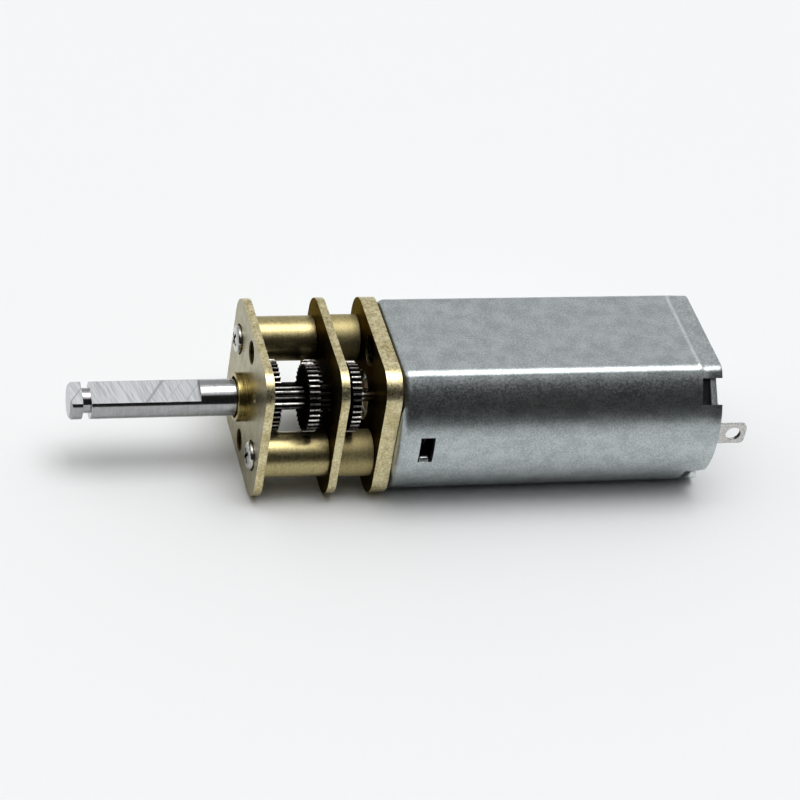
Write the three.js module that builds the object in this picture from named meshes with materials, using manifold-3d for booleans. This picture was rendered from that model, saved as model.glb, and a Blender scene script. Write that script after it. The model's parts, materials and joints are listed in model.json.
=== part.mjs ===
// A small geared dc motor: an open spur gearbox of three brass plates in front of a flat-sided steel can.
// Millimetres. In the part's own frame +X runs along the motor axis from the output shaft's tip to the rear,
// +Z is up, and the origin is under the middle of the part, on the surface that its plates stand on.
// The pieces are drawn in the axis frame: x is across (the part's Y), y is up (the part's Z) and z is back
// (the part's X), with zero on the output axis in the front plate's outer face.
import * as THREE from "three";
import { mergeVertices } from "three/addons/utils/BufferGeometryUtils.js";
import Module from "manifold-3d";

const wasm = await Module();
wasm.setup();

// ---------- Driving dimensions ----------

const SLIP = 0.02; // radial gap of a pin or shaft in its hole
const CLEAR = 0.05; // gap between pieces that are pressed, glued or stacked
const ROUND_STEPS = 24; // facets of a large round piece
const SMALL_STEPS = 12; // facets of a pin, a screw or a small hole
const EDGE_STEPS = 3; // facets across a rounded edge
const SIDE_STEPS = 10; // facets across a broad arc
const PAST = 1; // how far a cutting tool runs past what it cuts

const PLATE = { width: 13.2, height: 12.3, corner: 2.3 };
const FRONT_PLATE = { front: 0, back: 0.68 };
const MIDDLE_PLATE = { front: 6.08, back: 6.77 };
const REAR_PLATE = { front: 9.74, back: 11.06 };

const MOUNT_HOLE = { radius: 0.9, up: 4.5 }; // two tapped holes, 9 mm apart
const POST = { across: 4.3, up: 2.6, frontRadius: 1.85, rearRadius: 1.9 };
const POST_SCREW = { shank: 0.6, headRadius: 1.2, crown: 1.0, rise: 0.45, end: 10.9 };
const SINK = { radius: 1.3, depth: 0.65 }; // 90 degree countersink
const CROSS_RECESS = { length: 1.3, width: 0.28, depth: 0.25 };

const LAY_AXIS = { across: -2.9, up: 2.12 };
const ARBOR = { radius: 0.4, front: 0.3, back: 10.55, dimple: 0.5, dimpleDepth: 0.25 };

const SHAFT = { radius: 1.5, tip: -14.4, chamfer: 0.2, shoulder: 1.0, seatRadius: 1.1, seatEnd: 2.45 };
const CLIP_GROOVE = { radius: 1.0, front: -13.38, back: -12.7 };
const SHAFT_FLAT = { fromAxis: 1.0, end: -3.9, turn: THREE.MathUtils.degToRad(14) };
const SHAFT_TAIL = { radius: 0.4, end: 6.65 };
const OUTPUT_BUSH = { radius: 2.0, front: -0.95, back: 0.83 };
const THRUST_WASHER = { radius: 2.4, front: 0.87, back: 0.97 };

const TOOTH_MODULE = 0.15;
const PRESSURE_ANGLE = THREE.MathUtils.degToRad(20);
const DEDENDUM = 1.25; // in modules; the addendum is one module
const BACKLASH = 0.02;
const GEARS = {
  motorPinion: { teeth: 12, front: 7.2, back: 9.6 },
  wheel1: { teeth: 36, front: 7.4, back: 8.15 },
  pinion1: { teeth: 11, front: 4.9, back: 7.35 },
  wheel2: { teeth: 37, front: 4.95, back: 5.8 },
  pinion2: { teeth: 13, front: 2.6, back: 4.9 },
  wheel3: { teeth: 35, front: 3.9, back: 4.75 },
  pinion3: { teeth: 10, front: 0.98, back: 3.85 },
  outputGear: { teeth: 38, front: 1.03, back: 2.4 },
};
const GEAR_SEAT = 0.55; // radius of the hub that a pinion's wheel is swaged on to

const CAN = { radius: 7.75, halfHeight: 6, edge: 1.05, wall: 0.6, front: 11.09, back: 38.3, frontEdge: 0.8 };
const CAN_NOSE = { radius: 2.0, front: 10.1 };
const CAN_SLOT = { front: 12.8, back: 14.0, height: 2.4, up: 0.2 };
const CRIMP = { front: 36.3, openFrom: 37.8, angle: THREE.MathUtils.degToRad(35), width: 2.2, depth: 0.35 };
const FRONT_BEARING = { radius: 1.3, front: 10.15, back: 12.6 };
const REAR_BEARING = { radius: 1.3, front: 35.4, back: 37.65 };
const MOTOR_SCREW = { shank: 0.6, headRadius: 1.1, crown: 1.05, rise: -0.1, up: 4.5, end: 12.6 };

const MAGNET = { outer: 7.1, inner: 5.35, front: 14.5, back: 31.4, spread: THREE.MathUtils.degToRad(47) };
const MOTOR_SHAFT = { radius: 0.5, front: 7.05, back: 37.9 };
const CORE = { radius: 5.1, rimInner: 4.35, hub: 1.7, neck: 1.1, front: 16.1, back: 29.6 };
const POLES = 3;
const POLE_SPREAD = THREE.MathUtils.degToRad(50);
const WINDING = { inner: 1.9, outer: 3.75, halfWidth: 2.0, overhang: 1.1 };
const SHAFT_COLLAR = { radius: 1.2, front: 12.9, back: 15.1 };
const COMMUTATOR = { radius: 1.2, front: 31.2, back: 34.75 };
const COMMUTATOR_BAR = { outer: 1.65, inner: 1.3, front: 32.05, back: 34.4 };
const BAR_SPREAD = THREE.MathUtils.degToRad(52);

const BRUSH = { inner: 1.75, outer: 3.1, width: 1.4, front: 32.45, back: 34.0 };
const BRUSH_ARM = { thickness: 0.2, width: 1.8, front: 32.05, back: 34.7 };
const END_CAP = { front: 34.95, back: 37.75, bossRadius: 2.3, bossBack: 38.65 };
const TERMINAL = { across: 6.3, thickness: 0.35, height: 1.9, front: 34.9, back: 41.2, corner: 0.4 };
const TERMINAL_HOLE = { radius: 0.65, fromEnd: 1.1 };
const TERMINAL_SHANK = { thickness: 0.45, back: 37.8 };

// ---------- Finishes ----------

function finish(color, roughness, metalness) {
  return new THREE.MeshStandardMaterial({ color, roughness, metalness });
}

const MATERIALS = {
  brass: finish(0xb59f63, 0.35, 1),
  brightSteel: finish(0xb9bbbd, 0.18, 1),
  gearSteel: finish(0x4a4844, 0.3, 1),
  screwNickel: finish(0xc2bdb0, 0.25, 1),
  canSteel: finish(0x9aa3a3, 0.42, 1),
  bronze: finish(0x8a6a44, 0.6, 0.8),
  ferrite: finish(0x2b2b2d, 0.75, 0),
  coreSteel: finish(0x6d6f70, 0.5, 0.9),
  copper: finish(0xb0653a, 0.35, 1),
  carbon: finish(0x1f1f20, 0.8, 0),
  blackPlastic: finish(0x17181a, 0.5, 0),
  tinned: finish(0xb4b0a8, 0.35, 1),
};

// ---------- Solids ----------

// Turns a closed geometry into a solid that can be cut and joined.
function solidOf(geometry) {
  const bare = geometry.clone();
  bare.deleteAttribute("normal");
  bare.deleteAttribute("uv");
  const merged = mergeVertices(bare, 1e-4);
  return new wasm.Manifold(
    new wasm.Mesh({
      numProp: 3,
      vertProperties: new Float32Array(merged.attributes.position.array),
      triVerts: new Uint32Array(merged.index.array),
    }),
  );
}

// Turns a solid back into a geometry.
function geometryOf(solid) {
  const mesh = solid.getMesh();
  const geometry = new THREE.BufferGeometry();
  geometry.setAttribute("position", new THREE.BufferAttribute(mesh.vertProperties, 3));
  geometry.setIndex(new THREE.BufferAttribute(mesh.triVerts, 1));
  return geometry;
}

// Cuts every tool out of the base.
function cut(base, ...tools) {
  return geometryOf(tools.reduce((left, tool) => left.subtract(solidOf(tool)), solidOf(base)));
}

// Joins pieces that overlap into one.
function join(first, ...others) {
  return geometryOf(others.reduce((whole, other) => whole.add(solidOf(other)), solidOf(first)));
}

// The points of an arc, its ends included.
function arc(across, up, radius, from, to, steps) {
  return Array.from({ length: steps + 1 }, (_, step) => {
    const angle = from + ((to - from) * step) / steps;
    return new THREE.Vector2(across + radius * Math.cos(angle), up + radius * Math.sin(angle));
  });
}

// The points of a whole circle.
function circle(radius, steps, across = 0, up = 0) {
  return arc(across, up, radius, 0, 2 * Math.PI, steps).slice(0, steps);
}

// The circle whose facets all stay outside a round piece that turns or sits in it.
function holeFor(radius, steps, across = 0, up = 0, gap = SLIP) {
  return circle((radius + gap) / Math.cos(Math.PI / steps), steps, across, up);
}

// An outline pulled along the axis, with holes through it.
function prism(outline, holes, front, back) {
  const shape = new THREE.Shape(outline);
  shape.holes = holes.map((hole) => new THREE.Path(hole));
  const geometry = new THREE.ExtrudeGeometry(shape, { depth: back - front, bevelEnabled: false });
  return geometry.translate(0, 0, front);
}

// A profile of [radius, back] points turned about the axis, listed from the front to the back.
function turned(profile, steps) {
  const points = profile.map(([radius, back]) => new THREE.Vector2(radius, back));
  return new THREE.LatheGeometry(points, steps).rotateX(Math.PI / 2);
}

// A ring or tube about the axis, which turns on or is fixed to a round piece in its bore.
function ring({ radius, front, back }, boreRadius, steps) {
  return prism(circle(radius, steps), [holeFor(boreRadius, steps)], front, back);
}

// A box given by its lowest and highest corners.
function block(acrossFrom, acrossTo, upFrom, upTo, front, back) {
  const geometry = new THREE.BoxGeometry(acrossTo - acrossFrom, upTo - upFrom, back - front);
  return geometry.translate((acrossFrom + acrossTo) / 2, (upFrom + upTo) / 2, (front + back) / 2);
}

// ---------- Assembly ----------

const gearMotor = new THREE.Group();

// Adds a piece, moved off the output axis and turned about its own axis.
function add(name, geometry, material, { across = 0, up = 0, turn = 0 } = {}) {
  const mesh = new THREE.Mesh(geometry, material);
  mesh.name = name;
  mesh.position.set(across, up, 0);
  mesh.rotation.z = turn;
  gearMotor.add(mesh);
}

// ---------- Gearbox frame ----------

const POSTS = [
  { name: "upper", across: POST.across, up: POST.up },
  { name: "lower", across: -POST.across, up: -POST.up },
];
const MOTOR_SCREWS = [
  { name: "upper", up: MOTOR_SCREW.up },
  { name: "lower", up: -MOTOR_SCREW.up },
];

// All three plates have one outline, a rectangle with round corners.
function plate(holes, { front, back }) {
  const { width, height, corner } = PLATE;
  const across = width / 2 - corner;
  const up = height / 2 - corner;
  const quarter = Math.PI / 2;
  const outline = [
    ...arc(across, up, corner, 0, quarter, EDGE_STEPS),
    ...arc(-across, up, corner, quarter, 2 * quarter, EDGE_STEPS),
    ...arc(-across, -up, corner, 2 * quarter, 3 * quarter, EDGE_STEPS),
    ...arc(across, -up, corner, 3 * quarter, 4 * quarter, EDGE_STEPS),
  ];
  return prism(outline, holes, front, back);
}

function screwHoles() {
  return POSTS.map(({ across, up }) => holeFor(POST_SCREW.shank, SMALL_STEPS, across, up, CLEAR));
}

// The countersink of a screw, cut into the face that lies at a place along the axis.
function sinkTool(across, up, face) {
  const cone = turned(
    [
      [0, -PAST],
      [SINK.radius + PAST, -PAST],
      [SINK.radius - SINK.depth, SINK.depth],
      [0, SINK.depth],
    ],
    SMALL_STEPS,
  );
  return cone.translate(across, up, face);
}

function frontPlate() {
  const holes = [
    holeFor(OUTPUT_BUSH.radius, ROUND_STEPS, 0, 0, CLEAR),
    holeFor(ARBOR.radius, SMALL_STEPS, LAY_AXIS.across, LAY_AXIS.up),
    circle(MOUNT_HOLE.radius, SMALL_STEPS, 0, MOUNT_HOLE.up),
    circle(MOUNT_HOLE.radius, SMALL_STEPS, 0, -MOUNT_HOLE.up),
    ...screwHoles(),
  ];
  const cones = POSTS.map(({ across, up }) => sinkTool(across, up, FRONT_PLATE.front));
  const dimpleOutline = circle(ARBOR.dimple, SMALL_STEPS, LAY_AXIS.across, LAY_AXIS.up);
  const dimple = prism(dimpleOutline, [], -PAST, ARBOR.dimpleDepth);
  return cut(plate(holes, FRONT_PLATE), dimple, ...cones);
}

function middlePlate() {
  const pinionTip = TOOTH_MODULE * (GEARS.pinion1.teeth / 2 + 1);
  return plate(
    [
      holeFor(SHAFT_TAIL.radius, SMALL_STEPS),
      holeFor(pinionTip, SMALL_STEPS * 2, LAY_AXIS.across, LAY_AXIS.up, 2 * CLEAR),
      ...screwHoles(),
    ],
    MIDDLE_PLATE,
  );
}

function rearPlate() {
  const holes = [
    holeFor(CAN_NOSE.radius, ROUND_STEPS, 0, 0, CLEAR),
    holeFor(ARBOR.radius, SMALL_STEPS, LAY_AXIS.across, LAY_AXIS.up),
    ...MOTOR_SCREWS.map(({ up }) => holeFor(MOTOR_SCREW.shank, SMALL_STEPS, 0, up, CLEAR)),
    ...screwHoles(),
  ];
  const cones = MOTOR_SCREWS.map(({ up }) => sinkTool(0, up, REAR_PLATE.front));
  return cut(plate(holes, REAR_PLATE), ...cones);
}

function spacer(radius, from, to) {
  const bore = holeFor(POST_SCREW.shank, SMALL_STEPS, 0, 0, CLEAR);
  return prism(circle(radius, ROUND_STEPS), [bore], from.back + SLIP, to.front - SLIP);
}

function crossRecess(top, depth) {
  const { length, width } = CROSS_RECESS;
  const bar = block(-length / 2, length / 2, -width / 2, width / 2, top - depth, top + depth);
  return join(bar, bar.clone().rotateZ(Math.PI / 2));
}

// A countersunk screw. Its crown rises out of the face, or lies below it when the rise is negative.
function sunkScrew({ shank, headRadius, crown, rise, end }, face) {
  const top = face - rise;
  const shoulder = top + headRadius - crown;
  const rim = Math.max(face, shoulder + CLEAR);
  const body = turned(
    [
      [0, top],
      [crown, top],
      [headRadius, shoulder],
      [headRadius, rim],
      [shank, rim + headRadius - shank],
      [shank, end],
      [0, end],
    ],
    SMALL_STEPS,
  );
  return cut(body, crossRecess(top, CROSS_RECESS.depth));
}

function addFrame() {
  add("front_plate", frontPlate(), MATERIALS.brass);
  add("middle_plate", middlePlate(), MATERIALS.brass);
  add("rear_plate", rearPlate(), MATERIALS.brass);
  add("output_bush", ring(OUTPUT_BUSH, SHAFT.radius, ROUND_STEPS), MATERIALS.brass);
  for (const post of POSTS) {
    const frontSpacer = spacer(POST.frontRadius, FRONT_PLATE, MIDDLE_PLATE);
    const rearSpacer = spacer(POST.rearRadius, MIDDLE_PLATE, REAR_PLATE);
    add("front_spacer_" + post.name, frontSpacer, MATERIALS.brass, post);
    add("rear_spacer_" + post.name, rearSpacer, MATERIALS.brass, post);
    add("gearbox_screw_" + post.name, sunkScrew(POST_SCREW, FRONT_PLATE.front), MATERIALS.screwNickel, post);
  }
  for (const screw of MOTOR_SCREWS) {
    add("motor_screw_" + screw.name, sunkScrew(MOTOR_SCREW, REAR_PLATE.front), MATERIALS.screwNickel, screw);
  }
  const arbor = prism(circle(ARBOR.radius, SMALL_STEPS), [], ARBOR.front, ARBOR.back);
  add("lay_arbor", arbor, MATERIALS.brightSteel, LAY_AXIS);
}

// ---------- Gear train ----------

const involute = (angle) => Math.tan(angle) - angle;

// Half of a tooth's angle at a radius; below the base circle the flank is radial.
function toothHalfAngle(teeth, radius) {
  const pitchRadius = (TOOTH_MODULE * teeth) / 2;
  const baseRadius = pitchRadius * Math.cos(PRESSURE_ANGLE);
  const slope = Math.acos(Math.min(1, baseRadius / radius));
  const atPitch = Math.PI / (2 * teeth) - BACKLASH / 2 / pitchRadius;
  return atPitch + involute(PRESSURE_ANGLE) - involute(slope);
}

// A spur gear's outline, with one tooth centred on the x axis.
function gearOutline(teeth) {
  const pitchRadius = (TOOTH_MODULE * teeth) / 2;
  const root = pitchRadius - DEDENDUM * TOOTH_MODULE;
  const tip = pitchRadius + TOOTH_MODULE;
  const flank = root < pitchRadius * Math.cos(PRESSURE_ANGLE) ? [root, pitchRadius, tip] : [root, tip];
  const points = [];
  for (let tooth = 0; tooth < teeth; tooth++) {
    const middle = (2 * Math.PI * tooth) / teeth;
    const side = (radius, sign) => {
      const angle = middle + sign * toothHalfAngle(teeth, radius);
      points.push(new THREE.Vector2(radius * Math.cos(angle), radius * Math.sin(angle)));
    };
    flank.forEach((radius) => side(radius, -1));
    [...flank].reverse().forEach((radius) => side(radius, 1));
  }
  return points;
}

// A wheel or pinion with a plain bore.
function gear({ teeth, front, back }, boreRadius) {
  return prism(gearOutline(teeth), [holeFor(boreRadius, SMALL_STEPS)], front, back);
}

// A pinion with a plain hub behind its teeth, which its wheel is fixed to.
function hubbedPinion(pinion, wheel, boreRadius) {
  const hub = { radius: GEAR_SEAT, front: pinion.back - SLIP, back: wheel.back };
  return join(gear(pinion, boreRadius), ring(hub, boreRadius, SMALL_STEPS));
}

// Angle at which a tooth of one gear points along the line to the other axis.
const LAY_DIRECTION = Math.atan2(LAY_AXIS.up, LAY_AXIS.across);
// Turn that puts a tooth, or the gap between two teeth, on the line between the axes.
const toothToLay = LAY_DIRECTION;
const gapToMain = ({ teeth }) => LAY_DIRECTION + Math.PI + Math.PI / teeth;
const toothToMain = LAY_DIRECTION + Math.PI;
const gapToLay = ({ teeth }) => LAY_DIRECTION + Math.PI / teeth;

function addGears() {
  const { motorPinion, wheel1, pinion1, wheel2, pinion2, wheel3, pinion3, outputGear: lastGear } = GEARS;
  const steel = MATERIALS.gearSteel;
  const onMain = (turn) => ({ turn });
  const onLay = (turn) => ({ ...LAY_AXIS, turn });
  add("motor_pinion", gear(motorPinion, MOTOR_SHAFT.radius), MATERIALS.brass, onMain(toothToLay));
  add("first_wheel", gear(wheel1, GEAR_SEAT), steel, onLay(gapToMain(wheel1)));
  add("first_pinion", hubbedPinion(pinion1, wheel1, ARBOR.radius), steel, onLay(toothToMain));
  add("second_wheel", gear(wheel2, GEAR_SEAT), steel, onMain(gapToLay(wheel2)));
  add("second_pinion", hubbedPinion(pinion2, wheel2, SHAFT_TAIL.radius), steel, onMain(toothToLay));
  add("third_wheel", gear(wheel3, GEAR_SEAT), steel, onLay(gapToMain(wheel3)));
  add("third_pinion", hubbedPinion(pinion3, wheel3, ARBOR.radius), steel, onLay(toothToMain));
  add("output_gear", gear(lastGear, SHAFT.seatRadius), steel, onMain(gapToLay(lastGear)));
}

// ---------- Output shaft ----------

function outputShaft() {
  const { radius, tip, chamfer, shoulder, seatRadius, seatEnd } = SHAFT;
  const body = turned(
    [
      [0, tip],
      [radius - chamfer, tip],
      [radius, tip + chamfer],
      [radius, CLIP_GROOVE.front],
      [CLIP_GROOVE.radius, CLIP_GROOVE.front],
      [CLIP_GROOVE.radius, CLIP_GROOVE.back],
      [radius, CLIP_GROOVE.back],
      [radius, shoulder],
      [seatRadius, shoulder],
      [seatRadius, seatEnd],
      [SHAFT_TAIL.radius, seatEnd],
      [SHAFT_TAIL.radius, SHAFT_TAIL.end],
      [0, SHAFT_TAIL.end],
    ],
    ROUND_STEPS,
  );
  const reach = radius + PAST;
  const above = block(-reach, reach, SHAFT_FLAT.fromAxis, reach, tip - PAST, SHAFT_FLAT.end);
  return cut(body, above.rotateZ(SHAFT_FLAT.turn));
}

function addOutput() {
  add("output_shaft", outputShaft(), MATERIALS.brightSteel);
  add("thrust_washer", ring(THRUST_WASHER, SHAFT.radius, ROUND_STEPS), MATERIALS.brightSteel);
}

// ---------- Motor can and what stands still in it ----------

const SIDES = [
  { name: "left", side: -1 },
  { name: "right", side: 1 },
];

// The can's section: a circle with flats above and below, and rounded edges where they meet.
function canOutline(inset) {
  const edge = CAN.edge - inset / 2;
  const radius = CAN.radius - inset;
  const halfHeight = CAN.halfHeight - inset;
  const edgeUp = halfHeight - edge;
  const edgeAcross = Math.sqrt((radius - edge) ** 2 - edgeUp ** 2);
  const meet = Math.atan2(edgeUp, edgeAcross);
  const upperHalf = [
    ...arc(0, 0, radius, 0, meet, SIDE_STEPS / 2),
    ...arc(edgeAcross, edgeUp, edge, meet, Math.PI / 2, EDGE_STEPS).slice(1),
    ...arc(-edgeAcross, edgeUp, edge, Math.PI / 2, Math.PI - meet, EDGE_STEPS),
    ...arc(0, 0, radius, Math.PI - meet, Math.PI, SIDE_STEPS / 2).slice(1),
  ].slice(0, -1);
  const lowerHalf = upperHalf.map((point) => point.clone().negate());
  return [...upperHalf, ...lowerHalf];
}

// The can's outside, with its front edge rounded.
function canOutside() {
  const shell = new THREE.ExtrudeGeometry(new THREE.Shape(canOutline(0)), {
    depth: CAN.back - CAN.front,
    bevelEnabled: true,
    bevelThickness: CAN.frontEdge,
    bevelSize: CAN.frontEdge,
    bevelOffset: -CAN.frontEdge,
    bevelSegments: EDGE_STEPS,
  });
  shell.translate(0, 0, CAN.front + CAN.frontEdge);
  const reach = CAN.radius + PAST;
  return cut(shell, block(-reach, reach, -reach, reach, CAN.back, CAN.back + CAN.frontEdge + PAST));
}

// The slots punched through both round sides, in front of the magnets.
function slotTool() {
  const { front, back, height, up } = CAN_SLOT;
  const reach = CAN.radius + PAST;
  return block(-reach, reach, up - height / 2, up + height / 2, front, back);
}

// Thins the wall for a crimped tab, and cuts its end away.
function crimpTool(angle) {
  const outer = CAN.radius + PAST;
  const half = CRIMP.width / 2;
  const thin = block(CAN.radius - CRIMP.depth, outer, -half, half, CRIMP.front, CAN.back + PAST);
  const through = block(CAN.radius - PAST, outer, -half, half, CRIMP.openFrom, CAN.back + PAST);
  return join(thin, through).rotateZ(angle);
}

function motorCan() {
  const wallBack = CAN.front + CAN.wall;
  const hollow = prism(canOutline(CAN.wall), [], wallBack, CAN.back + PAST);
  const nose = prism(circle(CAN_NOSE.radius, ROUND_STEPS), [], CAN_NOSE.front, wallBack);
  const bearingOutline = holeFor(FRONT_BEARING.radius, ROUND_STEPS, 0, 0, CLEAR);
  const bearingHole = prism(bearingOutline, [], CAN_NOSE.front - PAST, wallBack + PAST);
  const screwHoles = MOTOR_SCREWS.map(({ up }) =>
    prism(holeFor(MOTOR_SCREW.shank, SMALL_STEPS, 0, up, CLEAR), [], CAN.front - PAST, wallBack + PAST),
  );
  const { angle } = CRIMP;
  const crimps = [angle, -angle, Math.PI - angle, Math.PI + angle].map(crimpTool);
  return cut(join(cut(canOutside(), hollow), nose), bearingHole, slotTool(), ...screwHoles, ...crimps);
}

// A curved magnet against one round side of the can.
function magnet(middle) {
  const { outer, inner, front, back, spread } = MAGNET;
  const outline = [
    ...arc(0, 0, outer, middle - spread, middle + spread, SIDE_STEPS),
    ...arc(0, 0, inner, middle + spread, middle - spread, SIDE_STEPS),
  ];
  return prism(outline, [], front, back);
}

function endCap() {
  const { front, back, bossRadius, bossBack } = END_CAP;
  const body = prism(canOutline(CAN.wall + CLEAR), [], front, back);
  const boss = prism(circle(bossRadius, ROUND_STEPS), [], back - PAST, bossBack);
  const bearingOutline = holeFor(REAR_BEARING.radius, ROUND_STEPS, 0, 0, CLEAR);
  const bearing = prism(bearingOutline, [], front - PAST, REAR_BEARING.back + CLEAR);
  const shaftHole = prism(holeFor(MOTOR_SHAFT.radius, SMALL_STEPS), [], back - PAST, bossBack + PAST);
  const slotHalf = TERMINAL_SHANK.thickness / 2 + CLEAR;
  const slotUp = TERMINAL.height / 2 + CLEAR;
  const slots = SIDES.map(({ side }) => {
    const across = side * TERMINAL.across;
    return block(across - slotHalf, across + slotHalf, -slotUp, slotUp, front - PAST, back + PAST);
  });
  return cut(join(body, boss), bearing, shaftHole, ...slots);
}

// A flat blade on edge, with rounded rear corners and a wire hole. Its shank, in the end cap, is thicker.
function terminal(side) {
  const { thickness, height, front, back, corner } = TERMINAL;
  const half = height / 2;
  const outline = [
    new THREE.Vector2(front, half),
    new THREE.Vector2(front, -half),
    ...arc(back - corner, corner - half, corner, -Math.PI / 2, 0, EDGE_STEPS),
    ...arc(back - corner, half - corner, corner, 0, Math.PI / 2, EDGE_STEPS),
  ];
  const hole = circle(TERMINAL_HOLE.radius, SMALL_STEPS, back - TERMINAL_HOLE.fromEnd, 0);
  const blade = prism(outline, [hole], -thickness / 2, thickness / 2).rotateY(-Math.PI / 2);
  const shankHalf = TERMINAL_SHANK.thickness / 2;
  const shank = block(-shankHalf, shankHalf, -half, half, front, TERMINAL_SHANK.back);
  return join(blade, shank).translate(side * TERMINAL.across, 0, 0);
}

// A leaf that runs in from its terminal and forward along the back of its brush.
function brushArm(side) {
  const { thickness, width, front, back } = BRUSH_ARM;
  const leafInner = BRUSH.outer + CLEAR;
  const foot = block(leafInner, TERMINAL.across + thickness, -width / 2, width / 2, back - thickness, back);
  const leaf = block(leafInner, leafInner + thickness, -width / 2, width / 2, front, back);
  const arm = join(foot, leaf);
  return side > 0 ? arm : arm.rotateZ(Math.PI);
}

function brush(side) {
  const { inner, outer, width, front, back } = BRUSH;
  const carbon = block(inner, outer, -width / 2, width / 2, front, back);
  return side > 0 ? carbon : carbon.rotateZ(Math.PI);
}

function addStator() {
  add("motor_can", motorCan(), MATERIALS.canSteel);
  add("front_bearing", ring(FRONT_BEARING, MOTOR_SHAFT.radius, ROUND_STEPS), MATERIALS.bronze);
  add("end_cap", endCap(), MATERIALS.blackPlastic);
  add("rear_bearing", ring(REAR_BEARING, MOTOR_SHAFT.radius, ROUND_STEPS), MATERIALS.bronze);
  for (const { name, side } of SIDES) {
    add("magnet_" + name, magnet(side > 0 ? 0 : Math.PI), MATERIALS.ferrite);
    add("terminal_" + name, terminal(side), MATERIALS.tinned);
    add("brush_arm_" + name, brushArm(side), MATERIALS.copper);
    add("brush_" + name, brush(side), MATERIALS.carbon);
  }
}

// ---------- Armature ----------

const POLE_ANGLES = Array.from({ length: POLES }, (_, index) => Math.PI / 2 + (2 * Math.PI * index) / POLES);

// One pole: a neck from the hub and a curved shoe that faces the magnets.
function pole(middle) {
  const { radius, rimInner, hub, neck, front, back } = CORE;
  const shoe = prism(
    [
      ...arc(0, 0, radius, -POLE_SPREAD, POLE_SPREAD, SIDE_STEPS),
      ...arc(0, 0, rimInner, POLE_SPREAD, -POLE_SPREAD, SIDE_STEPS),
    ],
    [],
    front,
    back,
  );
  const web = block(hub / 2, (radius + rimInner) / 2, -neck, neck, front, back);
  return join(shoe, web).rotateZ(middle);
}

function armatureCore() {
  const hub = prism(circle(CORE.hub, SMALL_STEPS), [], CORE.front, CORE.back);
  const poles = POLE_ANGLES.map(pole);
  const bore = prism(holeFor(MOTOR_SHAFT.radius, SMALL_STEPS), [], CORE.front - PAST, CORE.back + PAST);
  return cut(join(hub, ...poles), bore);
}

// The copper wound round one pole's neck.
function winding(middle) {
  const { inner, outer, halfWidth, overhang } = WINDING;
  const front = CORE.front - overhang;
  const back = CORE.back + overhang;
  const neck = CORE.neck + CLEAR;
  const coil = block(inner, outer, -halfWidth, halfWidth, front, back);
  const window = block(inner - PAST, outer + PAST, -neck, neck, CORE.front - CLEAR, CORE.back + CLEAR);
  return cut(coil, window).rotateZ(middle);
}

function commutatorBar(middle) {
  const { outer, inner, front, back } = COMMUTATOR_BAR;
  const outline = [
    ...arc(0, 0, outer, -BAR_SPREAD, BAR_SPREAD, SIDE_STEPS),
    ...arc(0, 0, inner, BAR_SPREAD, -BAR_SPREAD, SIDE_STEPS),
  ];
  return prism(outline, [], front, back).rotateZ(middle);
}

function addRotor() {
  const shaft = prism(circle(MOTOR_SHAFT.radius, SMALL_STEPS), [], MOTOR_SHAFT.front, MOTOR_SHAFT.back);
  add("motor_shaft", shaft, MATERIALS.brightSteel);
  add("armature_core", armatureCore(), MATERIALS.coreSteel);
  add("commutator_holder", ring(COMMUTATOR, MOTOR_SHAFT.radius, SMALL_STEPS), MATERIALS.blackPlastic);
  add("shaft_collar", ring(SHAFT_COLLAR, MOTOR_SHAFT.radius, SMALL_STEPS), MATERIALS.blackPlastic);
  POLE_ANGLES.forEach((middle, index) => {
    add("winding_" + (index + 1), winding(middle), MATERIALS.copper);
    add("commutator_bar_" + (index + 1), commutatorBar(middle), MATERIALS.copper);
  });
}

addFrame();
addGears();
addOutput();
addStator();
addRotor();

// Stands the axis frame in the part's frame: its z becomes +X, its x becomes +Y and its y becomes +Z.
gearMotor.quaternion.setFromAxisAngle(new THREE.Vector3(1, 1, 1).normalize(), (2 * Math.PI) / 3);
gearMotor.position.set(-(SHAFT.tip + TERMINAL.back) / 2, 0, PLATE.height / 2);

export default gearMotor;
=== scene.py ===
"""The looks of a small geared dc motor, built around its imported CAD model.

Shapes are worked out in millimetres in the part's own frame: X runs back along the motor axis, Y is
across and Z is up. A finished mesh is scaled to metres, takes its CAD node's body and stands for it.
"""

import json
import math

import bmesh
import bpy
from mathutils import Matrix, Vector


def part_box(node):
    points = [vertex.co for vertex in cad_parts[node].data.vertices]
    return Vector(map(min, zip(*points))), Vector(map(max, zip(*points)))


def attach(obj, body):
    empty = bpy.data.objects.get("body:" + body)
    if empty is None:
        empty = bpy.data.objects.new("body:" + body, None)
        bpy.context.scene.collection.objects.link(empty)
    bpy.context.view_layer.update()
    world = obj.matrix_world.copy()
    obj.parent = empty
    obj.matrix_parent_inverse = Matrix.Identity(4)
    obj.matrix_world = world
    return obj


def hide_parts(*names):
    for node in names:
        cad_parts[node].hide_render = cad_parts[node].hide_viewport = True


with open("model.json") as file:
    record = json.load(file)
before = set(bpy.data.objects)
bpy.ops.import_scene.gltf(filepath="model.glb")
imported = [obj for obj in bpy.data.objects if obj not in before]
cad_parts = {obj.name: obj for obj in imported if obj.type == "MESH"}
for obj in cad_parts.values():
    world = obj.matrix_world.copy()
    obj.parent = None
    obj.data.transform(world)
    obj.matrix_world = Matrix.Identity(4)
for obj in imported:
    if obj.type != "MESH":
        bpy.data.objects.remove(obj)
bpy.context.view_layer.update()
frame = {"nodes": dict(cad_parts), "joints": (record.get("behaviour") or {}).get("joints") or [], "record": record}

MM = 0.001

# ---------- Places and sizes, from the frame ----------


def span(node, axis):
    """The lowest and highest place of a CAD node along X, Y or Z, in millimetres."""
    low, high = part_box(node)
    index = "XYZ".index(axis)
    return low[index] / MM, high[index] / MM


def size(node, axis):
    low, high = span(node, axis)
    return high - low


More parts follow.
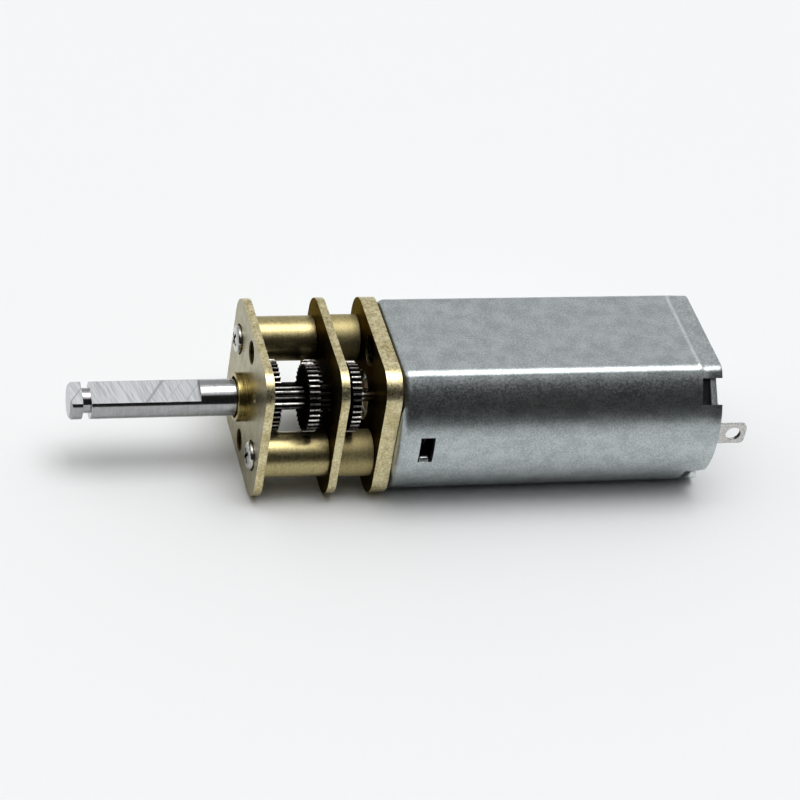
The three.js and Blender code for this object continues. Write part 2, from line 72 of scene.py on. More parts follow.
def middle(node, axis):
    low, high = span(node, axis)
    return (low + high) / 2


def centre(node):
    return middle(node, "Y"), middle(node, "Z")


def radius_of(node):
    return size(node, "Y") / 2


def bore_for(node):
    """The radius of a hole that a round node just fits."""
    return radius_of(node) + GAP


GAP = 0.02  # what keeps neighbouring pieces from sharing a surface
RECORD = frame["record"]
BODY_OF = {node: body for body, nodes in RECORD["behaviour"]["bodies"].items() for node in nodes}
JOINT_AT = {joint["child"]: joint["pos_m"] for joint in frame["joints"]}

# Both gear axes, as (Y, Z) in millimetres.
MAIN_AXIS = (JOINT_AT["output"][1] / MM, JOINT_AT["output"][2] / MM)
LAY_AXIS = (JOINT_AT["third_stage"][1] / MM, JOINT_AT["third_stage"][2] / MM)
AXIS_OF = {
    "rotor": MAIN_AXIS,
    "first_stage": LAY_AXIS,
    "second_stage": MAIN_AXIS,
    "third_stage": LAY_AXIS,
    "output": MAIN_AXIS,
}
FACE = span("front_plate", "X")[0]  # the front plate's outer face


def behind(distance):
    """The place that far behind the front plate's outer face, along X."""
    return FACE + distance


# ---------- Meshes ----------

FINE_STEPS = 96
SMALL_STEPS = 48
SMOOTH_ANGLE = math.radians(32)
CORNER_SHARE = 0.45  # the most of a straight side that one rounded corner takes up
ON_AXIS = 1e-6  # a smaller radius is a point on the axis


def mesh_object(name, vertices, faces):
    """An object with outward faces, still in millimetres."""
    mesh = bpy.data.meshes.new(name)
    mesh.from_pydata([Vector(v) for v in vertices], [], faces)
    work = bmesh.new()
    work.from_mesh(mesh)
    bmesh.ops.recalc_face_normals(work, faces=work.faces)
    work.to_mesh(mesh)
    work.free()
    obj = bpy.data.objects.new(name, mesh)
    bpy.context.scene.collection.objects.link(obj)
    return obj


def rounded(points, radius, closed=False, steps=3):
    """A polyline with rounded corners: each becomes a short curve that starts radius away from it."""
    result = []
    count = len(points)
    for index, point in enumerate(points):
        if not closed and index in (0, count - 1):
            result.append(Vector(point[:2]))
            continue
        corner = Vector(point[:2])
        before = Vector(points[index - 1][:2]) - corner
        after = Vector(points[(index + 1) % count][:2]) - corner
        wanted = point[2] if len(point) > 2 else radius
        reach = min(wanted, before.length * CORNER_SHARE, after.length * CORNER_SHARE)
        if reach <= 0:
            result.append(corner)
            continue
        start = corner + before.normalized() * reach
        end = corner + after.normalized() * reach
        for step in range(steps + 1):
            t = step / steps
            result.append(start * (1 - t) ** 2 + corner * 2 * t * (1 - t) + end * t**2)
    return result


def revolve(name, profile, axis=MAIN_AXIS, steps=FINE_STEPS, soften=0.04, closed=False):
    """A profile of (x, radius) points turned about an axis that runs along X.

    An open profile starts and ends on the axis; a closed one makes a ring. A third value in a point is
    that corner's own rounding.
    """
    points = rounded(profile, soften, closed)
    vertices = []
    rings = []
    for x, radius in points:
        if radius < ON_AXIS:
            rings.append([len(vertices)] * steps)
            vertices.append((x, *axis))
            continue
        rings.append(range(len(vertices), len(vertices) + steps))
        for step in range(steps):
            angle = 2 * math.pi * step / steps
            vertices.append((x, axis[0] + radius * math.cos(angle), axis[1] + radius * math.sin(angle)))
    faces = []
    pairs = list(zip(rings, rings[1:]))
    if closed:
        pairs.append((rings[-1], rings[0]))
    for first, second in pairs:
        for step in range(steps):
            after = (step + 1) % steps
            corners = [first[step], first[after], second[after], second[step]]
            faces.append(list(dict.fromkeys(corners)))
    return mesh_object(name, vertices, faces)


def ring(name, x_from, x_to, radius, bore, axis=MAIN_AXIS, soften=0.05, steps=FINE_STEPS):
    """A plain ring or tube with softened edges."""
    profile = [(x_from, bore), (x_from, radius), (x_to, radius), (x_to, bore)]
    return revolve(name, profile, axis, steps, soften, closed=True)


def prism(name, near, far):
    """Two outlines of as many (x, y, z) points, joined and closed at both ends."""
    count = len(near)
    faces = [list(range(count)), list(range(count, 2 * count))]
    for index in range(count):
        after = (index + 1) % count
        faces.append([index, after, count + after, count + index])
    return mesh_object(name, [*near, *far], faces)


def pulled(name, outline, x_from, x_to):
    """An outline of (y, z) points pulled along X."""
    near, far = ([(x, y, z) for y, z in outline] for x in (x_from, x_to))
    return prism(name, near, far)


def block(name, x, y, z):
    """A box given by its (low, high) spans."""
    outline = [(y[0], z[0]), (y[1], z[0]), (y[1], z[1]), (y[0], z[1])]
    return pulled(name, outline, *x)


def turned_about(obj, axis, angle):
    """Turns a mesh about an axis that runs along X."""
    centre = Vector((0, *axis))
    turn = Matrix.Translation(centre) @ Matrix.Rotation(angle, 4, "X") @ Matrix.Translation(-centre)
    obj.data.transform(turn)
    return obj


def combine(obj, tools, operation):
    """Cuts tools out of a mesh (DIFFERENCE), or joins them to it (UNION), and removes them."""
    for tool in tools:
        modifier = obj.modifiers.new("combine", "BOOLEAN")
        modifier.operation = operation
        modifier.solver = "EXACT"
        modifier.object = tool
    apply_modifiers(obj)
    for tool in tools:
        bpy.data.objects.remove(tool)
    return obj


def cut(obj, *tools):
    return combine(obj, tools, "DIFFERENCE")


def join(obj, *tools):
    return combine(obj, tools, "UNION")


def apply_modifiers(obj):
    graph = bpy.context.evaluated_depsgraph_get()
    finished = bpy.data.meshes.new_from_object(obj.evaluated_get(graph))
    obj.modifiers.clear()
    obj.data = finished


def clean(obj, weld=0.002):
    """Welds the slivers that a cut leaves and drops faces with no area."""
    work = bmesh.new()
    work.from_mesh(obj.data)
    bmesh.ops.remove_doubles(work, verts=work.verts, dist=weld)
    bmesh.ops.dissolve_degenerate(work, edges=work.edges, dist=weld / 2)
    work.to_mesh(obj.data)
    work.free()
    return obj


def bevelled(obj, width, segments=2, angle=math.radians(35)):
    """Rounds the sharp edges."""
    modifier = obj.modifiers.new("edges", "BEVEL")
    modifier.width = width
    modifier.segments = segments
    modifier.limit_method = "ANGLE"
    modifier.angle_limit = angle
    modifier.use_clamp_overlap = True
    modifier.miter_outer = "MITER_ARC"
    apply_modifiers(obj)
    return obj


def smoothed(obj):
    """Smooth shading that keeps flat faces flat and crisp edges crisp."""
    mesh = obj.data
    mesh.polygons.foreach_set("use_smooth", [True] * len(mesh.polygons))
    mesh.set_sharp_from_angle(angle=SMOOTH_ANGLE)
    modifier = obj.modifiers.new("normals", "WEIGHTED_NORMAL")
    modifier.keep_sharp = True
    apply_modifiers(obj)
    return obj


def stand_for(obj, node, *materials):
    """Finishes a mesh, scales it to metres, and puts it on its CAD node's body in that node's place."""
    smoothed(obj)
    obj.data.transform(Matrix.Scale(MM, 4))
    obj.data.materials.clear()
    for material in materials:
        obj.data.materials.append(material)
    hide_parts(node)
    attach(obj, BODY_OF[node])
    return obj


def from_axis(face, axis):
    """How far the middle of a finished piece's face is from an axis along X, in millimetres."""
    return math.hypot(face.center.y / MM - axis[0], face.center.z / MM - axis[1])


def second_material(obj, chosen):
    """Gives the second material to the faces that pass a test, and the first to the rest."""
    for face in obj.data.polygons:
        face.material_index = 1 if chosen(face) else 0


def arc(across, up, radius, start, end, steps):
    """Points on an arc in the YZ plane, its ends included."""
    angles = [start + (end - start) * step / steps for step in range(steps + 1)]
    return [(across + radius * math.cos(a), up + radius * math.sin(a)) for a in angles]


# ---------- Material nodes ----------

NOISE_SPAN = (0.3, 0.7)  # where nearly all of a noise's values lie
TONE_SPAN = (0.38, 0.62)  # where the middle ones lie; a narrower span gives more contrast
MIX_FACTOR, MIX_FIRST, MIX_SECOND, MIX_RESULT = 0, 6, 7, 2  # a mix node's sockets for colours


class Nodes:
    """Builds small chains of nodes in a node tree."""

    def __init__(self, tree):
        self.tree = tree

    def feed(self, socket, value):
        """Links another node's output to a socket, or gives the socket a plain value."""
        if isinstance(value, bpy.types.NodeSocket):
            self.tree.links.new(value, socket)
        elif socket.type == "RGBA":
            socket.default_value = (*value, 1)
        else:
            socket.default_value = value

    def add(self, kind, output, inputs, **settings):
        """One output of a new node. Its sockets go by name or by number."""
        node = self.tree.nodes.new(kind)
        for name, value in settings.items():
            setattr(node, name, value)
        for key, value in inputs.items():
            self.feed(node.inputs[key], value)
        return node.outputs[output]

    def remap(self, value, span, to=(0.0, 1.0), **settings):
        """A value moved from one range to another, and held within it."""
        inputs = {"Value": value, "From Min": span[0], "From Max": span[1], "To Min": to[0], "To Max": to[1]}
        return self.add("ShaderNodeMapRange", "Result", inputs, **settings)

    def split(self, vector, axis):
        return self.add("ShaderNodeSeparateXYZ", axis, {"Vector": vector})

    def math(self, operation, first, second=0):
        return self.add("ShaderNodeMath", 0, {0: first, 1: second}, operation=operation)


class Surface(Nodes):
    """A principled material whose inputs are fed by small chains of texture nodes."""

    def __init__(self, name, metallic=1.0):
        self.material = bpy.data.materials.new(name)
        self.material.use_nodes = True
        super().__init__(self.material.node_tree)
        self.coordinates = self.add("ShaderNodeTexCoord", "Object", {})
        self.relief = None
        self.shade("Metallic", metallic)

    def shade(self, name, value):
        """Feeds one of the shader's inputs."""
        self.feed(self.tree.nodes["Principled BSDF"].inputs[name], value)

    def noise(self, per_mm, detail=4, stretch=(1, 1, 1), turn=(0, 0, 0), roughness=0.5):
        """Noise with that many features to a millimetre, in coordinates turned and then stretched."""
        turned = self.add("ShaderNodeMapping", "Vector", {"Vector": self.coordinates, "Rotation": turn})
        place = self.add("ShaderNodeMapping", "Vector", {"Vector": turned, "Scale": stretch})
        inputs = {"Vector": place, "Scale": per_mm / MM, "Detail": detail, "Roughness": roughness}
        return self.add("ShaderNodeTexNoise", "Fac", inputs)

    def blend(self, first, second, share):
        """Two values added, the second at that share and the first at the rest."""
        rest = self.math("MULTIPLY", first, 1 - share)
        return self.math("ADD", rest, self.math("MULTIPLY", second, share))

    def mix(self, factor, first, second):
        """Two colours, or colour outputs, mixed by a factor."""
        inputs = {MIX_FACTOR: factor, MIX_FIRST: first, MIX_SECOND: second}
        return self.add("ShaderNodeMix", MIX_RESULT, inputs, data_type="RGBA")

    def tones(self, value, dark, light, span=TONE_SPAN):
        """Colours that go from dark to light as a value goes through its span."""
        return self.mix(self.remap(value, span), dark, light)

    def apart(self, first, second):
        """How far two values are from each other."""
        return self.math("ABSOLUTE", self.math("SUBTRACT", first, second))

    def facing(self, axis):
        """How squarely the surface faces along X, Y or Z, from 0 to 1."""
        return self.math("ABSOLUTE", self.split(self.add("ShaderNodeTexCoord", "Normal", {}), axis))

    def off_axis(self):
        """How far from the part's main axis, in metres."""
        flat = self.add("ShaderNodeVectorMath", 0, {0: self.coordinates, 1: (0, 1, 1)}, operation="MULTIPLY")
        main = (0, MAIN_AXIS[0] * MM, MAIN_AXIS[1] * MM)
        return self.add("ShaderNodeVectorMath", "Value", {0: flat, 1: main}, operation="DISTANCE")

    def band(self, at, width):
        """1 at that place along X, in mm, and falling to 0 at half the width on either side."""
        away = self.apart(self.split(self.coordinates, "X"), at * MM)
        return self.remap(away, (0.0, width / 2 * MM), to=(1.0, 0.0))

    def color(self, output):
        self.shade("Base Color", output)

    def roughness(self, value, low, high, span=NOISE_SPAN):
        """Roughness that goes from low to high as a value goes through its span."""
        self.shade("Roughness", self.remap(value, span, to=(low, high)))

    def bump(self, height, depth):
        """Adds relief of about that depth in millimetres."""
        inputs = {"Strength": 1.0, "Distance": depth * MM, "Height": height}
        if self.relief is not None:
            inputs["Normal"] = self.relief
        self.relief = self.add("ShaderNodeBump", "Normal", inputs)
        self.shade("Normal", self.relief)


# ---------- Materials ----------

ALONG_X = (1, 0.02, 0.02)  # a texture that changes along X only, which draws rings on a turned piece
LINES = (1, 0.03, 0.03)  # straight lines, across the direction that they are turned to
DRAWN_OUT = (0.1, 1, 1)  # a grain drawn out along X
SCRATCH = (0.03, 1, 1)
WIRES = (0.02, 1, 1)

SHADE_REACH = (3.6 * MM, 6.6 * MM)  # how far from the main axis the painted shade near the gears fades out
# the near-black colour of the painted shade near the gears
SHADE_TONE = (0.012, 0.008, 0.004)
RIDGE_TOP = 36.4  # behind the face: where the can's ridge and its painted highlight lie
RIDGE_HIGHLIGHT = 0.5  # how wide the painted highlight is


def brass_sheet(name, dark, light, face_reflection, shade_share):
    """Tumbled brass sheet: greyish rolled faces and yellow edges, painted shade of that share near the gears, and
    face reflections tinted by face_reflection, where a dark tint is painted shade.
    """
    look = Surface(name)
    face = look.remap(look.facing("X"), (0.75, 0.95))
    grain = look.noise(per_mm=5, roughness=0.65)
    patches = look.blend(look.noise(per_mm=0.9), grain, share=0.6)
    edge_tone = look.tones(patches, (0.42, 0.35, 0.17), (0.82, 0.75, 0.51))
    # painted shade: the faces darken towards the gears, where the gearbox's inside lies in shade
    shade_near_gears = look.remap(look.off_axis(), SHADE_REACH, to=(shade_share, 0.0))
    face_tone = look.mix(shade_near_gears, look.tones(patches, dark, light), SHADE_TONE)
    look.color(look.mix(face, edge_tone, face_tone))
    # a face_reflection below white dims the faces' reflections: painted shade
    look.shade("Specular Tint", look.mix(face, (1.0, 1.0, 1.0), face_reflection))
    look.roughness(grain, 0.24, 0.44)
    look.bump(grain, depth=0.008)
    look.bump(look.noise(per_mm=14, detail=3), depth=0.003)
    look.bump(look.noise(per_mm=28, detail=2, stretch=SCRATCH, turn=(0, 0, 0.6)), depth=0.0015)
    return look.material


def brass_turned(name, smoothest, roughest):
    """Turned and tumbled brass: a satin grain over faint rings."""
    look = Surface(name)
    rings = look.noise(per_mm=6, stretch=ALONG_X, roughness=0.7)
    grain = look.noise(per_mm=6, roughness=0.6)
    look.color(look.tones(look.blend(rings, grain, share=0.75), (0.36, 0.30, 0.14), (0.52, 0.45, 0.255)))
    look.roughness(grain, smoothest, roughest)
    look.bump(rings, depth=0.0012)
    look.bump(grain, depth=0.006)
    return look.material


def brass_bush():
    """The bush's smoother, browner brass, with fine turning rings."""
    look = Surface("brass_bush")
    rings = look.noise(per_mm=9, stretch=ALONG_X, roughness=0.7)
    cloud = look.noise(per_mm=1.8)
    look.color(look.tones(look.blend(rings, cloud, share=0.5), (0.22, 0.165, 0.05), (0.43, 0.35, 0.155)))
    look.roughness(rings, 0.17, 0.3)
    look.bump(rings, depth=0.002)
    return look.material


def gear_steel():
    """Cut steel, kept on the teeth's tips above the gears' painted shade."""
    look = Surface("gear_steel")
    cloud = look.noise(per_mm=4, roughness=0.6)
    look.color(look.tones(cloud, (0.22, 0.21, 0.20), (0.60, 0.58, 0.55)))
    look.roughness(look.noise(per_mm=16), 0.2, 0.38)
    look.bump(look.noise(per_mm=20, detail=3, stretch=DRAWN_OUT), depth=0.002)
    return look.material


def shaded_steel():
    """Near-black steel with dimmed reflections: painted shade on the gears' faces and tooth gaps, in the screws'
    cross recesses and on the flush motor screws.
    """
    look = Surface("shaded_steel")
    shade_patches = look.noise(per_mm=2.5, roughness=0.6)
    look.color(look.tones(shade_patches, (0.006, 0.005, 0.004), (0.045, 0.040, 0.034), span=(0.36, 0.64)))
    look.roughness(shade_patches, 0.3, 0.55)
    # a dark specular tint dims its reflections: painted shade
    look.shade("Specular Tint", (0.12, 0.11, 0.1))
    look.bump(look.noise(per_mm=9), depth=0.003)
    return look.material


def shaft_steel():
    """Ground and polished steel."""
    look = Surface("shaft_steel")
    rings = look.noise(per_mm=14, detail=5, stretch=ALONG_X, roughness=0.7)
    patches = look.blend(rings, look.noise(per_mm=3), share=0.4)
    look.color(look.tones(patches, (0.33, 0.33, 0.335), (0.46, 0.46, 0.465), span=(0.36, 0.64)))
    look.roughness(rings, 0.08, 0.2)
    look.bump(rings, depth=0.0008)
    return look.material


def ground_flat():
    """The shaft's flat, ground with two sets of slanting strokes and a few deeper scratches."""
    look = Surface("ground_flat")
    coarse = look.noise(per_mm=7.5, detail=2, stretch=LINES, turn=(0, 0, math.radians(-23)))
    fine = look.noise(per_mm=11, detail=2, stretch=LINES, turn=(0, 0, math.radians(-6)))
    strokes = look.blend(coarse, fine, share=0.4)
    deep = look.noise(per_mm=0.8, detail=1, stretch=LINES, turn=(0, 0, math.radians(38)), roughness=0.4)
    scratch = look.remap(look.apart(deep, 0.55), (0.0, 0.012), to=(1.0, 0.0))
    tone = look.tones(strokes, (0.235, 0.24, 0.245), (0.33, 0.335, 0.34), span=(0.4, 0.58))
    look.color(look.mix(scratch, tone, (0.19, 0.195, 0.20)))
    look.roughness(strokes, 0.26, 0.42)
    look.bump(strokes, depth=0.002)
    look.bump(scratch, depth=-0.004)
    return look.material


def can_steel():
    """Plated deep-drawn steel: blue-grey and finely mottled, with a painted highlight along the ridge on the top
    flat.
    """
    look = Surface("can_steel")
    mottle = look.noise(per_mm=0.8, roughness=0.6)
    speckle = look.noise(per_mm=7, detail=3, roughness=0.6)
    patches = look.blend(mottle, speckle, share=0.65)
    skin = look.tones(patches, (0.39, 0.422, 0.425), (0.56, 0.594, 0.597), span=(0.43, 0.57))
    top = look.remap(look.facing("Z"), (0.8, 0.95))
    # painted highlight: a light line across the ridge, on the top flat only
    ridge = look.math("MULTIPLY", look.band(behind(RIDGE_TOP), RIDGE_HIGHLIGHT), top)
    ridge_highlight = look.math("MULTIPLY", ridge, look.remap(speckle, (0.3, 0.6), to=(0.3, 0.75)))
    look.color(look.mix(ridge_highlight, skin, (0.86, 0.89, 0.89)))
    look.roughness(speckle, 0.28, 0.36, span=(0.42, 0.58))
    look.bump(look.noise(per_mm=1.6, detail=2), depth=0.006)
    return look.material


def grained(name, dark, light, smoothest, roughest, per_mm, depth, metallic=1.0, coarseness=0.6):
    """A plain finish with a fine even grain, of that many grains to a millimetre."""
    look = Surface(name, metallic)
    grain = look.noise(per_mm, roughness=coarseness)
    look.color(look.tones(grain, dark, light, span=(0.35, 0.65)))
    look.roughness(grain, smoothest, roughest)
    look.bump(grain, depth)
    return look.material


def wound_copper():
    """Enamelled wire, laid side by side along the armature."""
    look = Surface("wound_copper")
    wires = look.noise(per_mm=5, detail=1, stretch=WIRES)
    look.color(look.tones(wires, (0.42, 0.16, 0.06), (0.78, 0.38, 0.18), span=(0.4, 0.6)))
    look.shade("Roughness", 0.3)
    look.bump(look.remap(wires, (0.4, 0.6)), depth=0.04)
    return look.material


def paper():
    look = Surface("paper", metallic=0.0)
    look.shade("Base Color", (0.86, 0.87, 0.87))
    look.shade("Roughness", 0.9)
    return look.material


BRASS_SHEET = brass_sheet("brass_sheet", (0.27, 0.235, 0.13), (0.48, 0.44, 0.3), (1.0, 1.0, 1.0), 0.0)
# A darker copy of the brass sheet for the middle and rear plates, with dimmed face reflections: painted shade of
# the gearbox's inside
SHADED_SHEET = brass_sheet(
    "shaded_sheet", (0.15, 0.12, 0.06), (0.27, 0.225, 0.125), (0.3, 0.26, 0.18), 0.9
)
BRASS_TURNED = brass_turned("brass_turned", 0.28, 0.4)
BRASS_DULL = brass_turned("brass_dull", 0.46, 0.6)
BRASS_BUSH = brass_bush()
GEAR_STEEL = gear_steel()
SHADED_STEEL = shaded_steel()
SHAFT_STEEL = shaft_steel()
GROUND_FLAT = ground_flat()
CAN_STEEL = can_steel()
WOUND_COPPER = wound_copper()
PAPER = paper()
SCREW_NICKEL = grained("screw_nickel", (0.42, 0.41, 0.38), (0.66, 0.65, 0.62), 0.1, 0.24, 6, 0.003, 1.0, 0.5)
TINNED = grained("tinned", (0.46, 0.45, 0.43), (0.68, 0.67, 0.65), 0.22, 0.42, 7, 0.004, 1.0, 0.5)
# near-black brass: painted shade inside the plates' holes
HOLE_SHADE_BRASS = grained("hole_shade_brass", (0.035, 0.028, 0.012), (0.14, 0.11, 0.05), 0.36, 0.54, 6, 0.008)
COPPER = grained("copper", (0.62, 0.30, 0.16), (0.86, 0.48, 0.30), 0.24, 0.36, 7, 0.004)
BRONZE = grained("sintered_bronze", (0.34, 0.24, 0.13), (0.56, 0.42, 0.26), 0.44, 0.66, 9, 0.01, 0.8)
CORE_STEEL = grained("core_steel", (0.26, 0.27, 0.28), (0.42, 0.43, 0.44), 0.36, 0.54, 8, 0.006, 0.9)
FERRITE = grained("ferrite", (0.05, 0.05, 0.055), (0.10, 0.10, 0.105), 0.56, 0.84, 12, 0.006, 0.0)
CARBON = grained("carbon", (0.03, 0.03, 0.03), (0.07, 0.07, 0.07), 0.52, 0.78, 14, 0.006, 0.0)
BLACK_PLASTIC = grained(
    "black_plastic", (0.012, 0.013, 0.014), (0.03, 0.032, 0.034), 0.336, 0.504, 8, 0.006, 0.0
)

# ---------- Gearbox frame ----------

PLATE = {"corner": 2.3, "corner_steps": 10, "edge": 0.07}
THREAD = {"radius": 0.98, "depth": 0.1, "pitch": 0.22}
SCREW = {"shank": 0.6, "hole": 0.66, "play": 0.06, "rim": 0.06, "edge": 0.03, "end": 0.1}
MOUNT_HOLE_UP = 4.5
POSTS = ("upper", "lower")
SINK = {"radius": 1.28, "wall": 0.12, "floor": 0.8}
ARBOR_DIMPLE = {"radius": 0.5, "depth": 0.25}
NOSE_HOLE = 2.05  # the rear plate's hole round the nose of the can
GEAR_ROOM = 0.15  # the middle plate's clearance round the first pinion
SPACER_EDGE = 0.08
BUSH = {"bore_chamfer": 0.17, "lip": 0.4, "lip_step": 0.12, "rim": 0.1}
PAST = 0.5  # how far a cutting tool runs past what it cuts


def plate_outline(node):
    corner = PLATE["corner"]
    across = size(node, "Y") / 2 - corner
    up = size(node, "Z") / 2 - corner
    y, z = middle(node, "Y"), middle(node, "Z")
    quarter = math.pi / 2
    corners = [(across, up), (-across, up), (-across, -up), (across, -up)]
    points = []
    for index, (dy, dz) in enumerate(corners):
        start = index * quarter
        points += arc(y + dy, z + dz, corner, start, start + quarter, PLATE["corner_steps"])
    return points


def screw_axes(kind):
    """The axes of the two gearbox screws or the two motor screws."""
    return [centre(f"{kind}_screw_{which}") for which in POSTS]


def hole_tool(x_from, x_to, radius, axis):
    return revolve("tool", [(x_from, 0), (x_from, radius), (x_to, radius), (x_to, 0)], axis, SMALL_STEPS, 0)


def thread_tool(x_from, x_to, axis):
    """A hole tool with a thread's ridges."""
    groove, pitch = THREAD["radius"], THREAD["pitch"]
    profile = [(x_from - PAST, 0), (x_from - PAST, groove), (x_from, groove)]
    turns = round((x_to - x_from) / pitch)
    for turn in range(turns):
        start = x_from + (x_to - x_from) * turn / turns
        profile.append((start + pitch / 2, groove - THREAD["depth"]))
        profile.append((start + pitch, groove))
    profile += [(x_to + PAST, groove), (x_to + PAST, 0)]
    return revolve("tool", profile, axis, SMALL_STEPS, 0)


def sink_tool(x_face, axis):
    """A countersink that starts with a short straight wall."""
    radius, floor = SINK["radius"], SINK["floor"]
    wall_end = x_face + SINK["wall"]
    profile = [(x_face - PAST, 0), (x_face - PAST, radius), (wall_end, radius)]
    profile += [(wall_end + radius - floor, floor), (wall_end + radius - floor, 0)]
    return revolve("tool", profile, axis, SMALL_STEPS, 0)


def plate(node, holes, tools, material, shaded_holes=()):
    """A drilled plate. The open holes on the listed axes carry painted shade, a near-black brass, from just below
    the outer face.
    """
    low, high = span(node, "X")
    body = pulled(node + "_fine", plate_outline(node), low, high)
    drills = [hole_tool(low - PAST, high + PAST, radius, axis) for radius, axis in holes]
    cut(body, *drills, *tools)
    bevelled(clean(body), PLATE["edge"], 3)
    if not shaded_holes:
        return stand_for(body, node, material)

    # painted shade on the hole walls below the outer face
    def in_shaded_hole(face):
        deep = face.center.x / MM > low + PLATE["edge"] / 2
        return deep and any(from_axis(face, axis) < SINK["radius"] for axis in shaded_holes)

    second_material(stand_for(body, node, material, HOLE_SHADE_BRASS), in_shaded_hole)


def front_plate():
    node = "front_plate"
    low, high = span(node, "X")
    posts = screw_axes("gearbox")
    mounts = [(MAIN_AXIS[0], MAIN_AXIS[1] + up) for up in (MOUNT_HOLE_UP, -MOUNT_HOLE_UP)]
    holes = [(bore_for("output_bush"), MAIN_AXIS), (bore_for("lay_arbor"), LAY_AXIS)]
    holes += [(SCREW["hole"], axis) for axis in posts]
    tools = [thread_tool(low, high, axis) for axis in mounts]
    tools += [sink_tool(low, axis) for axis in posts]
    tools.append(hole_tool(low - PAST, low + ARBOR_DIMPLE["depth"], ARBOR_DIMPLE["radius"], LAY_AXIS))
    plate(node, holes, tools, BRASS_SHEET, mounts + posts)


def middle_plate():
    gear_hole = radius_of("first_pinion") + GEAR_ROOM
    holes = [(bore_for("lay_arbor"), MAIN_AXIS), (gear_hole, LAY_AXIS)]
    holes += [(SCREW["hole"], axis) for axis in screw_axes("gearbox")]
    plate("middle_plate", holes, [], SHADED_SHEET)


def rear_plate():
    node = "rear_plate"
    sunk = screw_axes("motor")
    holes = [(NOSE_HOLE, MAIN_AXIS), (bore_for("lay_arbor"), LAY_AXIS)]
    holes += [(SCREW["hole"], axis) for axis in screw_axes("gearbox") + sunk]
    tools = [sink_tool(span(node, "X")[0], axis) for axis in sunk]
    plate(node, holes, tools, SHADED_SHEET, sunk)


def spacers():
    for row, material in (("front", BRASS_TURNED), ("rear", BRASS_DULL)):
        for which in POSTS:
            node = f"{row}_spacer_{which}"
            axis = centre("gearbox_screw_" + which)
            radius = radius_of(node)
            tube = ring(node + "_fine", *span(node, "X"), radius, SCREW["hole"], axis, SPACER_EDGE)
            stand_for(tube, node, material)


def output_bush():
    low, high = span("output_bush", "X")
    radius = radius_of("output_bush")
    bore = bore_for("output_shaft")
    lip = low + BUSH["lip"]
    profile = [
        (low, bore + BUSH["bore_chamfer"], 0.04),
        (low, radius, BUSH["rim"]),
        (FACE - GAP, radius, 0.01),
        (high, radius, 0.05),
        (high, bore),
        (lip, bore, 0.02),
        (lip, bore + BUSH["lip_step"], 0.02),
    ]
    stand_for(revolve("output_bush_fine", profile, closed=True), "output_bush", BRASS_BUSH)


# The cross recess narrows to these shares of its length and width at its floor.
CROSS = {"length": 1.45, "width": 0.32, "depth": 0.55, "floor_length": 0.55, "floor_width": 0.75}
CROSS_PAST = 0.1
CROSS_TURNS = (math.radians(20), math.radians(38))  # how each screw ended up when it was tightened
RECESS_LIP = 0.08  # how deep into the cross recess the painted shade starts
# A domed head's corners: how far down the dome, how far out in the head, and each corner's rounding.
DOME = ((0.06, 0.55, 0.2), (0.22, 0.88, 0.12), (0.55, 1.0, 0.1))
PROUD_DOME = 0.45
FLUSH_DOME = 0.08


def cross_tool(x_top, axis, cross_turn):
    """A cross recess that narrows as it goes down."""
    y, z = axis
    half, thin = CROSS["length"] / 2, CROSS["width"] / 2
    corners = ((-half, -thin), (half, -thin), (half, thin), (-half, thin))
    above = [(x_top - CROSS_PAST, y + dy, z + dz) for dy, dz in corners]
    long, wide = CROSS["floor_length"], CROSS["floor_width"]
    floor_corners = [(x_top + CROSS["depth"], y + dy * long, z + dz * wide) for dy, dz in corners]
    turns = (cross_turn, cross_turn + math.pi / 2)
    return join(*(turned_about(prism("bar", above, floor_corners), axis, turn) for turn in turns))


def sunk_screw(node, cross_turn, dome, material):
    """A countersunk screw with painted shade in the cross recess of a head that is domed by that much."""
    axis = centre(node)
    low, high = span(node, "X")
    head, shank = radius_of(node) - SCREW["play"], SCREW["shank"]
    rim = low + dome + SCREW["rim"]
    profile = [(low, 0)] + [(low + dome * down, head * out, softness) for down, out, softness in DOME]
    profile += [(rim, head, 0.05), (rim + head - shank, shank, 0.03), (high, shank, SCREW["end"]), (high, 0)]
    screw = revolve(node + "_fine", profile, axis, SMALL_STEPS)
    cut(screw, cross_tool(low, axis, cross_turn))

    def in_recess(face):
        depth = face.center.x / MM - low - RECESS_LIP
        return 0 < depth < CROSS["depth"] and from_axis(face, axis) < CROSS["length"] / 2

    # the cross recess gets the near-black steel: painted shade
    stand_for(bevelled(clean(screw), SCREW["edge"]), node, material, SHADED_STEEL)
    second_material(screw, in_recess)


def screws():
    for which, cross_turn in zip(POSTS, CROSS_TURNS):
        sunk_screw("gearbox_screw_" + which, cross_turn, PROUD_DOME, SCREW_NICKEL)
        # the flush motor screws are near-black steel all over: painted shade between the plates
        sunk_screw("motor_screw_" + which, cross_turn, FLUSH_DOME, SHADED_STEEL)


def pin(node, axis, softness):
    """A plain round pin with softened ends."""
    low, high = span(node, "X")
    radius = radius_of(node)
    profile = [(low, 0), (low, radius, softness), (high, radius, softness), (high, 0)]
    stand_for(revolve(node + "_fine", profile, axis, SMALL_STEPS), node, SHAFT_STEEL)


# ---------- Gears ----------

